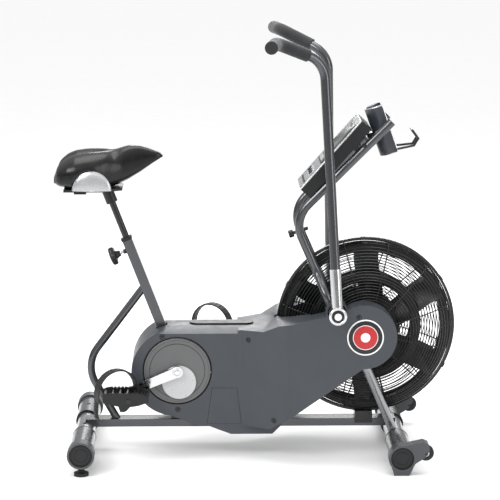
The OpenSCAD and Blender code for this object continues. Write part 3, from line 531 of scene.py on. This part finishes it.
def saddle_trim():
    """Domed bright half-disc panels in the sides of the saddle, each with a raised rim."""
    m = Mesh()
    low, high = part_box("seat_panels")
    cx, cz, r = (low.x + high.x) / 2, low.z, (high.x - low.x) / 2
    y_back, y_edge, bulge = high.y - 0.0105, high.y - 0.0055, 0.0125
    for _, side in SIDES:
        rows, cols, v = 12, 37, []
        for i in range(rows):
            q = i / (rows - 1)
            for t in np.linspace(0, math.pi, cols):
                v.append((cx + r * q * math.cos(t), side * (y_edge + bulge * math.sqrt(1 - 0.97 * q * q)),
                          cz + r * q * math.sin(t)))
        back = [(cx + r * math.cos(t), side * y_back, cz + r * math.sin(t))
                for t in np.linspace(0, math.pi, cols)]
        m.add((v + back, quads(rows + 1, cols, wrap_cols=False)), 0)
        y_rim = side * (y_edge + bulge * 0.20)
        m.add(sweep([(x, y_rim, z) for x, z in arc(cx, cz, r, 0, 180, 44)], 0.0018, 8), 1)
        foot = [(cx - r, y_rim, cz), (cx, side * (y_edge + bulge), cz), (cx + r, y_rim, cz)]
        m.add(sweep(foot, 0.0014, 6), 1)
    return m.build("saddle_panels", [SILVER, STEEL], "seat", "silver_plastic", ["seat_panels"])


saddle_trim()


# ---------------------------------------------------------------- shroud details

def tree_of(node):
    """A CAD node's faces, ready to be hit by a line."""
    data = frame["nodes"][node].data
    return BVHTree.FromPolygons([v.co for v in data.vertices], [p.vertices for p in data.polygons])


def skin(tree, x, z, side):
    """Where a line across the bike first meets a casing, and the way its face looks there."""
    hit, normal, *_ = tree.ray_cast(Vector((x, side * 0.5, z)), Vector((0, -side, 0)))
    if hit is None:
        return None
    return hit, (normal if normal.y * side > 0 else -normal)


def facing(point, normal):
    """Places local Z along a normal, at a point."""
    return Matrix.Translation(point) @ normal.to_track_quat("Z", "Y").to_matrix().to_4x4()


# Places on the casing, as (X, Z) from the crank's axis
SCREWS = ((-0.049, 0.114), (0.235, 0.106), (0.593, 0.199), (0.001, -0.133), (0.318, -0.156))
LABEL = ((0.115, -0.060), (0.197, -0.060), (0.212, -0.182), (0.098, -0.182))
LABEL_MIDDLE = (0.163, -0.118)


def shroud_details(name, side):
    """Screws sunk in rings, their heads and rings painted black as the shade in the screw holes; a shallow
    blank label field; and a black line round the crank cover, painted shade for the gap there.
    """
    tree, m = tree_of(name + "_shroud"), Mesh()
    for x, z in SCREWS:
        found = skin(tree, CRANK.x + x, CRANK.z + z, side)
        if found is None:
            continue
        place = facing(*found)
        # Black ring and head: painted shade of the screw hole.
        m.add(lathe([(0.0088, -0.0015), (0.0092, 0.0004), (0.0078, 0.0009), (0.0066, 0.0002),
                     (0.0060, -0.0010)], 32), 1, place)
        m.add(lathe([(0.0052, -0.0010), (0.0052, 0.0006), (0.0042, 0.0011), (0.0022, 0.0012),
                     (0.0016, 0.0004)], 24), 2, place)
    corners = [(CRANK.x + x, CRANK.z + z) for x, z in LABEL]
    face = abs(skin(tree, CRANK.x + LABEL_MIDDLE[0], CRANK.z + LABEL_MIDDLE[1], side)[0].y)
    m.add(slab(corners, *sorted((side * (face - 0.001), side * (face + 0.0007))), 0.0006), 0)
    edge = [(x, side * (face + 0.0002), z) for x, z in [*corners, corners[0]]]
    m.add(sweep(edge, 0.0009, 6), 1)
    # Black line on the face round the crank cover: painted shade of the gap between cover and casing.
    ring = [(x, side * (face + 0.0002), z) for x, z in arc(CRANK.x, CRANK.z, 0.1140, 0, 357, 119)]
    m.add(sweep(ring, 0.0014, 6, closed=True), 1)
    return m.build(name + "_shroud_details", [SHROUD, BLACK, BLACK], "root", "dark_plastic")


for side_name, side in SIDES:
    shroud_details(side_name, side)


def badge():
    """Plain domed badges of coloured rings, one each side, with no marks on them."""
    m = Mesh()
    low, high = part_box("badges")
    r = (high.x - low.x) / 2
    for _, side in SIDES:
        back = Vector(((low.x + high.x) / 2, side * (high.y - 0.003), (low.z + high.z) / 2))
        place = along_y(back, side)
        m.add(lathe([(r - 0.0045, 0), (r, 0), (r, 0.0022), (r - 0.0010, 0.0030), (r - 0.0036, 0.0030),
                     (r - 0.0045, 0.0022)], 96, closed=True), 3, place)
        m.add(lathe([(r * 0.690, 0), (r - 0.0045, 0), (r - 0.0050, 0.0020), (r * 0.700, 0.0027)],
                    96, closed=True), 2, place)
        m.add(lathe([(r * 0.650, 0), (r * 0.690, 0), (r * 0.688, 0.0031), (r * 0.654, 0.0031)],
                    96, closed=True), 1, place)
        m.add(lathe([(r * 0.260, 0), (r * 0.650, 0.0), (r * 0.648, 0.0026), (r * 0.45, 0.0034),
                     (r * 0.265, 0.0037)], 96, closed=True), 0, place)
        m.add(lathe([(r * 0.260, 0), (r * 0.260, 0.0038), (r * 0.20, 0.0042), (r * 0.06, 0.0044)], 96),
              1, place)
    return m.build("ring_badges", [RED, WHITE, BLACK, WHITE], "root", "badge_plastic", ["badges"])


badge()


# ---------------------------------------------------------------- crank details

COVER_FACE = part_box("crank_covers")[1].y
ARM_FACE = COVER_FACE + 0.021  # outer face of each crank arm, from the middle plane


def crank_details():
    """Rim and line of each crank cover, and the slots and hub caps of the crank arms."""
    m = Mesh()
    for name, side in SIDES:
        pedal = joint_at(name + "_pedal_spin")
        centre = Vector((CRANK.x, side * COVER_FACE, CRANK.z))
        m.add(lathe([(0.1040, -0.001), (0.1095, -0.001), (0.1095, 0.0012), (0.1080, 0.0022),
                     (0.1052, 0.0022), (0.1040, 0.0012)], 96, closed=True), 0, along_y(centre, side))
        m.add(lathe([(0.0905, -0.001), (0.0920, -0.001), (0.0920, 0.0007), (0.0905, 0.0007)], 96,
                    closed=True), 2, along_y(centre, side))
        reach = Vector((pedal.x - CRANK.x, 0, pedal.z - CRANK.z))
        away, length = reach.normalized(), reach.length
        across = Vector((-away.z, 0, away.x))
        slot_mid = Vector((CRANK.x, side * ARM_FACE, CRANK.z)) + away * (length - 0.040)
        ends = [slot_mid + away * 0.017, slot_mid - away * 0.017]
        outline = []
        for c, start in ((ends[0], -90), (ends[1], 90)):
            for k in range(9):
                t = math.radians(start + 180 * k / 8)
                d = away * math.cos(t) + across * math.sin(t)
                outline.append((c.x + d.x * 0.0045, c.z + d.z * 0.0045))
        m.add(slab(outline, *sorted((side * (ARM_FACE - 0.001), side * (ARM_FACE + 0.0006))), 0.0005), 2)
        hub = Vector((CRANK.x, side * ARM_FACE, CRANK.z))
        m.add(lathe([(0.0150, -0.001), (0.0152, 0.0014), (0.0140, 0.0024), (0.0110, 0.0026),
                     (0.0100, 0.0010), (0.0075, 0.0008), (0.0070, 0.0030), (0.0040, 0.0034)], 48), 1,
              along_y(hub, side))
        m.add(lathe([(0.0118, 0), (0.0120, 0.003), (0.0105, 0.0045), (0.0085, 0.0045)], 40), 1,
              along_y(Vector((pedal.x, side * ARM_FACE, pedal.z)), side))
    return m.build("crank_trim", [COVER, CHROME, DARK], "crankset", "cover_plastic")


crank_details()


# ---------------------------------------------------------------- pedals and straps

def pedal(name, side):
    """Platform pedal: two toothed side plates, tread bars, a spindle barrel and a weighted keel."""
    m = Mesh()
    c = joint_at(name + "_pedal_spin")
    low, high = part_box(name + "_pedal")
    y_in, y_out = sorted((low.y, high.y), key=abs)

    def at(x, z):
        """A place in millimetres from the pedal's spindle."""
        return c.x + x * MM, c.z + z * MM

    teeth = []
    for k in range(7):
        x = -60 + 12 * k
        teeth += [(x, 24.6), (x + 5, 24.6), (x + 6.5, 19.8), (x + 9.5, 19.8), (x + 11, 24.6)]
    profile = [(64, 11), (64, -3), (32, -14), (4, -18), (-6, -30), (-14, -34), (-26, -34),
               (-32, -16), (-66, -8), (-82, -3), (-82, 18), (-74, 22)]
    plate = [at(*p) for p in [*profile, *teeth, (30, 23)]]
    for y in (y_in, y_out - side * 0.012):
        m.add(slab(plate, *sorted((y, y + side * 0.012)), 0.0016))
    across = sorted((y_in + side * 0.006, y_out - side * 0.006))
    for x, z, w, h in ((-76, 9, 9, 20), (-52, 11, 8, 16), (-28, 12, 8, 16), (-4, 13, 9, 16),
                       (20, 12, 8, 15), (42, 8, 8, 13), (59, 4, 8, 12)):
        bar = [at(x - w / 2, z - h / 2), at(x + w / 2, z - h / 2), at(x + w / 2, z + h / 2 - 2),
               at(x + w / 4, z + h / 2), at(x - w / 4, z + h / 2), at(x - w / 2, z + h / 2 - 2)]
        m.add(slab(bar, *across, 0.0008))
    keel = [at(-6, -30), at(-2, -20), at(-4, -8), at(-30, -8), at(-31, -18), at(-26, -34), at(-14, -34)]
    m.add(slab(keel[::-1], *sorted((y_in + side * 0.022, y_out - side * 0.022)), 0.002))
    barrel = Vector((c.x, y_in, c.z))
    m.add(lathe([(0.0105, 0.001), (0.0135, 0.003), (0.0135, 0.030), (0.0120, 0.034), (0.0120, 0.062),
                 (0.0135, 0.066), (0.0135, 0.093), (0.0105, 0.095)], 32), 0, along_y(barrel, side))
    m.add(lathe([(0.009, 0), (0.009, 0.0010), (0.006, 0.0016), (0.003, 0.0016)], 24), 1,
          along_y(Vector((c.x, y_out, c.z)), side))
    return m.build(name + "_pedal_body", [DARK, BLACK], "pedal_" + name[0], "dark_plastic",
                   [name + "_pedal"])


def strap(name, side):
    """Arched rubber strap across the pedal, with raised edges and a loose ladder tail."""
    m = Mesh()
    c = joint_at(name + "_pedal_spin")
    low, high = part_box(name + "_pedal")
    place = (Matrix.Translation((c.x - 0.040, (low.y + high.y) / 2 + side * 0.002, c.z + 0.020))
             @ Matrix.Rotation(-side * math.radians(32), 4, "Z"))
    r = 0.0735
    path = [(x, 0, z) for x, z in arc(0, 0, r, 0, 180, 48)]
    path = [(r, 0, -0.005), *path, (-r, 0, -0.012), (-r, 0, -0.025)]
    m.add(band(path, 0.031, 0.0042), 0, place)
    for k in range(11):
        t = math.radians(28 + 12.4 * k)
        rib = [((r + 0.0024) * math.cos(t), y, (r + 0.0024) * math.sin(t)) for y in (-0.011, 0.011)]
        m.add(sweep(rib, 0.0013, 6), 0, place)
    tail = [(-r - 0.0005, 0, -0.020), (-r - 0.0030, 0, -0.042), (-r - 0.0035, 0, -0.062),
            (-r + 0.0010, 0, -0.082)]
    m.add(band(tail, 0.025, 0.0034), 0, place)
    for k in range(6):
        z = -0.030 - 0.0088 * k
        out = -r - 0.0040 - 0.0030 * math.sin((z + 0.020) / -0.062 * math.pi)
        m.add(sweep([(out, -0.009, z), (out, 0.009, z)], 0.0017, 6), 0, place)
    for edge in (-0.0140, 0.0140):
        m.add(sweep([((r + 0.0018) * math.cos(t), edge, (r + 0.0018) * math.sin(t))
                     for t in np.linspace(0, math.pi, 48)], 0.0011, 6), 0, place)
    return m.build(name + "_strap_band", [BELT], "pedal_" + name[0], "belt_rubber", [name + "_strap"])


for side_name, side in SIDES:
    pedal(side_name, side)
    strap(side_name, side)


# ---------------------------------------------------------------- knobs

def knob_part(r, lobes, height, dent=0.12):
    """A crowned, lobed knob standing on the local XY plane."""
    levels = ((0.55, 0.00), (0.92, 0.02), (1.0, 0.18), (1.0, 0.62), (0.93, 0.84), (0.72, 0.96),
              (0.40, 1.0), (0.10, 0.985))
    n, v = 80, []
    for k, h in levels:
        for i in range(n):
            t = 2 * math.pi * i / n
            lobe = 1 - dent * (0.5 - 0.5 * math.cos(lobes * t)) * (1 if k > 0.7 else k)
            v.append((r * k * lobe * math.cos(t), r * k * lobe * math.sin(t), height * h))
    f = quads(len(levels), n)
    f += [tuple(range(n - 1, -1, -1)), tuple(range((len(levels) - 1) * n, len(levels) * n))]
    return v, f


def joint_axis(name):
    """The line that a joint turns about or slides along."""
    return Vector(next(j for j in frame["joints"] if j["name"] == name)["axis"]).normalized()


def seat_knob():
    """Lobed knob, its hub and the pin's shank, where the CAD knob's outer face is."""
    m = Mesh()
    out = joint_axis("seat_pin_pull")
    if out.x > 0:
        out = -out
    pts = [v.co for v in frame["nodes"]["seat_knob"].data.vertices]
    far = max(p.dot(out) for p in pts)
    rim = [p for p in pts if p.dot(out) > far - 0.004]
    centre = sum(rim, Vector()) / len(rim)
    place = facing(centre - out * 0.020, out)
    m.add(knob_part(0.0315, 5, 0.0200), 0, place)
    m.add(lathe([(0.0035, -0.045), (0.004, -0.044), (0.004, -0.020), (0.0060, -0.019),
                 (0.0060, -0.016)], 32), 1, place)
    m.add(lathe([(0.0085, -0.0165), (0.0098, -0.0155), (0.0105, -0.0100), (0.0150, -0.0020),
                 (0.0200, 0.0010)], 40), 0, place)
    m.add(lathe([(0.0095, 0.0190), (0.0100, 0.0201), (0.0080, 0.0206), (0.0030, 0.0208)], 32), 1,
          place)
    return m.build("seat_knob_lobed", [DARK, STEEL], "seat_pin", "dark_plastic", ["seat_knob"])


seat_knob()


# ---------------------------------------------------------------- stabilizer ends, wheels and feet

SLEEVE_START, SLEEVE_STOP = 0.2275, 0.0455  # the painted sleeve's ends, from the cap's outer end


def end_caps(which):
    """Painted sleeves, dark rings and dished dark faces on the stabilizer's ends."""
    m = Mesh()
    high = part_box(which + "_caps")[1]
    stab = middle(which + "_stabilizer")
    for _, side in SIDES:
        face = Vector((stab.x, side * high.y, stab.z))
        place = along_y(face, side)
        m.add(lathe([(0.0375, -0.0060), (0.0375, -0.0052), (0.0250, -0.0046), (0.0100, -0.0040),
                     (0.004, -0.0042)], 64), 1, place)
        for r in (0.0330, 0.0210):
            m.add(lathe([(r - 0.0012, -0.0052), (r + 0.0012, -0.0052), (r + 0.0008, -0.0030),
                         (r - 0.0008, -0.0030)], 64, closed=True), 1, place)
        start = Vector((stab.x, side * (high.y - SLEEVE_START), stab.z))
        long = SLEEVE_START - SLEEVE_STOP
        m.add(lathe([(0.0378, 0.004), (0.0384, 0.0046), (0.0384, long), (0.0378, long)], 72, closed=True), 2,
              along_y(start, side))
        m.add(lathe([(0.0325, 0), (0.0388, 0), (0.0392, 0.0014), (0.0392, 0.0042), (0.0386, 0.0056),
                     (0.0325, 0.0056)], 64, closed=True), 1, along_y(start, side))
    return m.build(which + "_cap_trim", [CAP, DARK, SLEEVE], "root", "cap_plastic")


end_caps("rear")
end_caps("front")


def wheel(name, side):
    """Transport wheel: crowned tyre with two grooves, dished hub and axle nut."""
    m = Mesh()
    low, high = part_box(name + "_wheel")
    c, r, w = (low + high) / 2, (high.z - low.z) / 2, (high.y - low.y) / 2
    place = along_y(c, side)
    half = [(0.0056, 0.0020 - w), (0.012, 0.0015 - w), (r - 0.007, 0.0008 - w),
            (r - 0.0022, 0.0022 - w), (r - 0.0003, 0.0055 - w), (r, -0.0046), (r - 0.0014, -0.0038),
            (r - 0.0014, -0.0028), (r, -0.0020)]
    m.add(lathe(half + [(a, -h) for a, h in reversed(half)], 64, closed=True), 0, place)
    m.add(lathe([(0.0060, w - 0.0018), (0.0105, w - 0.0018), (0.0105, w - 0.0004), (0.0092, w),
                 (0.0060, w)], 40, closed=True), 1, place)
    return m.build(name + "_tyre", [TYRE, STEEL], "wheel_" + name[0], "tyre_rubber", [name + "_wheel"])


for side_name, side in SIDES:
    wheel(side_name, side)


# ---------------------------------------------------------------- handle details

def arm_details(name, side):
    """Socket bolts, and the ringed end of the pivot with its hexagon nut."""
    m = Mesh()
    pivot = joint_at(name + "_handle_swing")
    tube = [v.co for v in frame["nodes"][name + "_arm"].data.vertices]
    foot = [p for p in tube if p.z < pivot.z + 0.075]
    base = sum(foot, Vector()) / len(foot)
    socket_low, socket_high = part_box(name + "_socket")
    up = (base - pivot).normalized()
    y = side * max(abs(socket_low.y), abs(socket_high.y))
    face = Vector((pivot.x, y, pivot.z))
    m.add(lathe([(0.0205, -0.001), (0.0275, -0.001), (0.0275, 0.0010), (0.0255, 0.0026),
                 (0.0222, 0.0026), (0.0205, 0.0012)], 64, closed=True), 0, along_y(face, side))
    m.add(lathe([(0.0206, -0.001), (0.0204, 0.0006), (0.0120, 0.0006)], 48), 1, along_y(face, side))
    m.add(lathe([(0.0110, 0.0), (0.0110, 0.0028), (0.0096, 0.0040), (0.0050, 0.0040)], 6), 0,
          along_y(face, side))
    for d in (0.082, 0.124):
        at = pivot + up * d
        out = Vector((0, side, 0)) - up * up.y * side
        out.normalize()
        m.add(lathe([(0.0068, 0.0150), (0.0068, 0.0215), (0.0060, 0.0228), (0.0034, 0.0228),
                     (0.0028, 0.0205)], 24), 1, facing(at, out))
    return m.build(name + "_arm_fittings", [CHROME, DARK], "handle_" + name[0], "polished_steel")


for side_name, side in SIDES:
    arm_details(side_name, side)


# ---------------------------------------------------------------- console and bottle holder

def console_place():
    """The console's frame at the low edge of its face: X up the slope, Z out of the face."""
    out = joint_axis("middle_button_press")
    if out.z < 0:
        out = -out
    across = Vector((0, 1, 0))
    up = across.cross(out).normalized()
    turn = Matrix((up, across, out)).transposed().to_4x4()
    face = frame["nodes"]["console_face"].data.vertices
    level = max(v.co.dot(out) for v in face)
    start = min(v.co.dot(up) for v in face)
    origin = out * level + up * start
    return Matrix.Translation(origin) @ turn


def plate(x0, x1, y0, y1, z0, z1, corner, edge):
    """A rounded rectangle in the local XY plane with soft edges."""
    pts = []
    for cx, cy, a in ((x1 - corner, y1 - corner, 0), (x0 + corner, y1 - corner, 90),
                      (x0 + corner, y0 + corner, 180), (x1 - corner, y0 + corner, 270)):
        pts += [(cx, cy, math.radians(a + 15 * k)) for k in range(7)]
    v = []
    for z, inset in ((z0, 0), (z1 - edge, 0), (z1 - edge * 0.3, edge * 0.3), (z1, edge)):
        bend = corner - inset
        v += [(cx + bend * math.cos(a), cy + bend * math.sin(a), z) for cx, cy, a in pts]
    n = len(pts)
    f = quads(4, n)
    f += [tuple(range(n - 1, -1, -1)), tuple(range(3 * n, 4 * n))]
    return v, f


def console_details():
    """Display bezel, glass and blank panel, a ring round each button and a strip below them."""
    m = Mesh()
    place = console_place()
    m.add(plate(0.104, 0.276, -0.078, 0.078, -0.001, 0.0014, 0.010, 0.001), 0, place)
    m.add(plate(0.110, 0.270, -0.072, 0.072, 0.0005, 0.0019, 0.007, 0.0004), 1, place)
    m.add(plate(0.126, 0.256, -0.060, 0.060, 0.0010, 0.0022, 0.003, 0.0002), 2, place)
    for k in (-1, 0, 1):
        m.add(lathe([(0.0102, -0.001), (0.0132, -0.001), (0.0132, 0.0008), (0.0124, 0.0014),
                     (0.0110, 0.0014), (0.0102, 0.0008)], 40, closed=True), 3,
              place @ Matrix.Translation((0.060, 0.040 * k, 0)))
    m.add(plate(0.020, 0.030, -0.070, 0.070, -0.001, 0.0008, 0.004, 0.0006), 0, place)
    return m.build("console_trim", [DARK, GLASS, DISPLAY, CHROME], "root", "dark_plastic")


console_details()


def mast_bolts():
    """Dark bolt heads on the mast tubes where the console brackets are fixed."""
    m = Mesh()
    place = console_place()
    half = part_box("console_housing")[1].y - 0.0105
    for side in (-1, 1):
        for u in (0.095, 0.245):
            at = place @ Vector((u, side * (half + 0.0140), -0.062))
            m.add(lathe([(0.0065, -0.003), (0.0070, 0.0010), (0.0060, 0.0030), (0.0030, 0.0036)], 24), 0,
                  along_y(at, side))
    return m.build("mast_bolt_heads", [BLACK], "root", "black_paint")


mast_bolts()


HOLDER_LEAN = 19.5  # degrees that the bottle holder leans back


def holder_rim():
    """Rolled rims along the bottle holder's open edges, coloured bright silver as a painted highlight along
    them.
    """
    m = Mesh()
    pts = [v.co for v in frame["nodes"]["bottle_holder"].data.vertices]
    lean = math.radians(HOLDER_LEAN)
    up = Vector((-math.sin(lean), 0, math.cos(lean)))
    out = Vector((up.z, 0, -up.x))
    top, low = max(p.dot(up) for p in pts), min(p.dot(up) for p in pts)
    back, front = min(p.dot(out) for p in pts), max(p.dot(out) for p in pts)
    r = max(p.y for p in pts) - 0.0018
    axis = back + r + 0.0018
    open_at = math.acos(min(max((front - axis) / r, -1), 1))
    # The rims' bright silver colour is a painted highlight.
    for level in (top, low + 0.001):
        path = [out * (axis + r * math.cos(t)) + up * level + Vector((0, r * math.sin(t), 0))
                for t in np.linspace(open_at, 2 * math.pi - open_at, 56)]
        m.add(sweep(path, 0.0026 if level == top else 0.0020, 8), 0)
    for s in (-1, 1):
        edge = [out * (axis + r * math.cos(open_at)) + up * z + Vector((0, s * r * math.sin(open_at), 0))
                for z in np.linspace(low, top, 12)]
        m.add(sweep(edge, 0.0022, 8), 0)
    return m.build("holder_rim_highlights", [SILVER], "root", "silver_plastic")


holder_rim()


# ---------------------------------------------------------------- stage

def floor():
    """A plain pale floor that runs past every view."""
    data = bpy.data.meshes.new("floor")
    data.from_pydata([(-60, -60, 0), (60, -60, 0), (60, 60, 0), (-60, 60, 0)], [], [(0, 1, 2, 3)])
    o = bpy.data.objects.new("floor", data)
    bpy.context.scene.collection.objects.link(o)
    mat = material("floor_paper", (0.86, 0.86, 0.86), 0.8, grain=300, depth=0.02, vary=0.01,
                   specular=0.1)
    data.materials.append(mat)


def lamp(name, size, energy, at, target):
    """A soft rectangular lamp turned towards a target."""
    light = bpy.data.lights.new(name, "AREA")
    light.shape = "RECTANGLE"
    light.size, light.size_y = size
    light.energy = energy
    o = bpy.data.objects.new(name, light)
    bpy.context.scene.collection.objects.link(o)
    o.location = at
    o.rotation_euler = (Vector(target) - Vector(at)).to_track_quat("-Z", "Y").to_euler()


floor()
lamp("key", (2.6, 1.6), 130, (-2.8, -2.8, 3.4), (-0.1, 0, 0.6))
lamp("fill", (1.6, 2.4), 45, (3.4, -2.4, 1.8), (0, 0, 0.6))
lamp("top", (3.4, 2.4), 105, (0, 0.4, 4.4), (0, 0, 0.4))
lamp("rim", (2.4, 1.6), 60, (0.4, 4.2, 2.4), (0, 0, 0.8))
world = bpy.data.worlds.new("studio")
bpy.context.scene.world = world
world.use_nodes = True
sky = world.node_tree
where = sky.nodes.new("ShaderNodeTexCoord")
apart = sky.nodes.new("ShaderNodeSeparateXYZ")
height = sky.nodes.new("ShaderNodeMapRange")
for key, value in (("From Min", 0.0), ("From Max", 0.75), ("To Min", 0.26), ("To Max", 1.30)):
    height.inputs[key].default_value = value
sky.links.new(where.outputs["Generated"], apart.inputs["Vector"])
sky.links.new(apart.outputs["Z"], height.inputs["Value"])
sky.links.new(height.outputs["Result"], sky.nodes["Background"].inputs["Strength"])
sky.nodes["Background"].inputs["Color"].default_value = (1, 1, 1, 1)
bpy.context.scene.view_settings.view_transform = "Standard"

camera = bpy.data.cameras.new("camera")
camera.lens = 157
camera.sensor_width = 36
camera_object = bpy.data.objects.new("camera", camera)
bpy.context.scene.collection.objects.link(camera_object)
camera_object.location = (-0.158, -7.1, 2.077)
camera_object.rotation_euler = (math.radians(78.9), 0, math.radians(-1.11))
bpy.context.scene.camera = camera_object
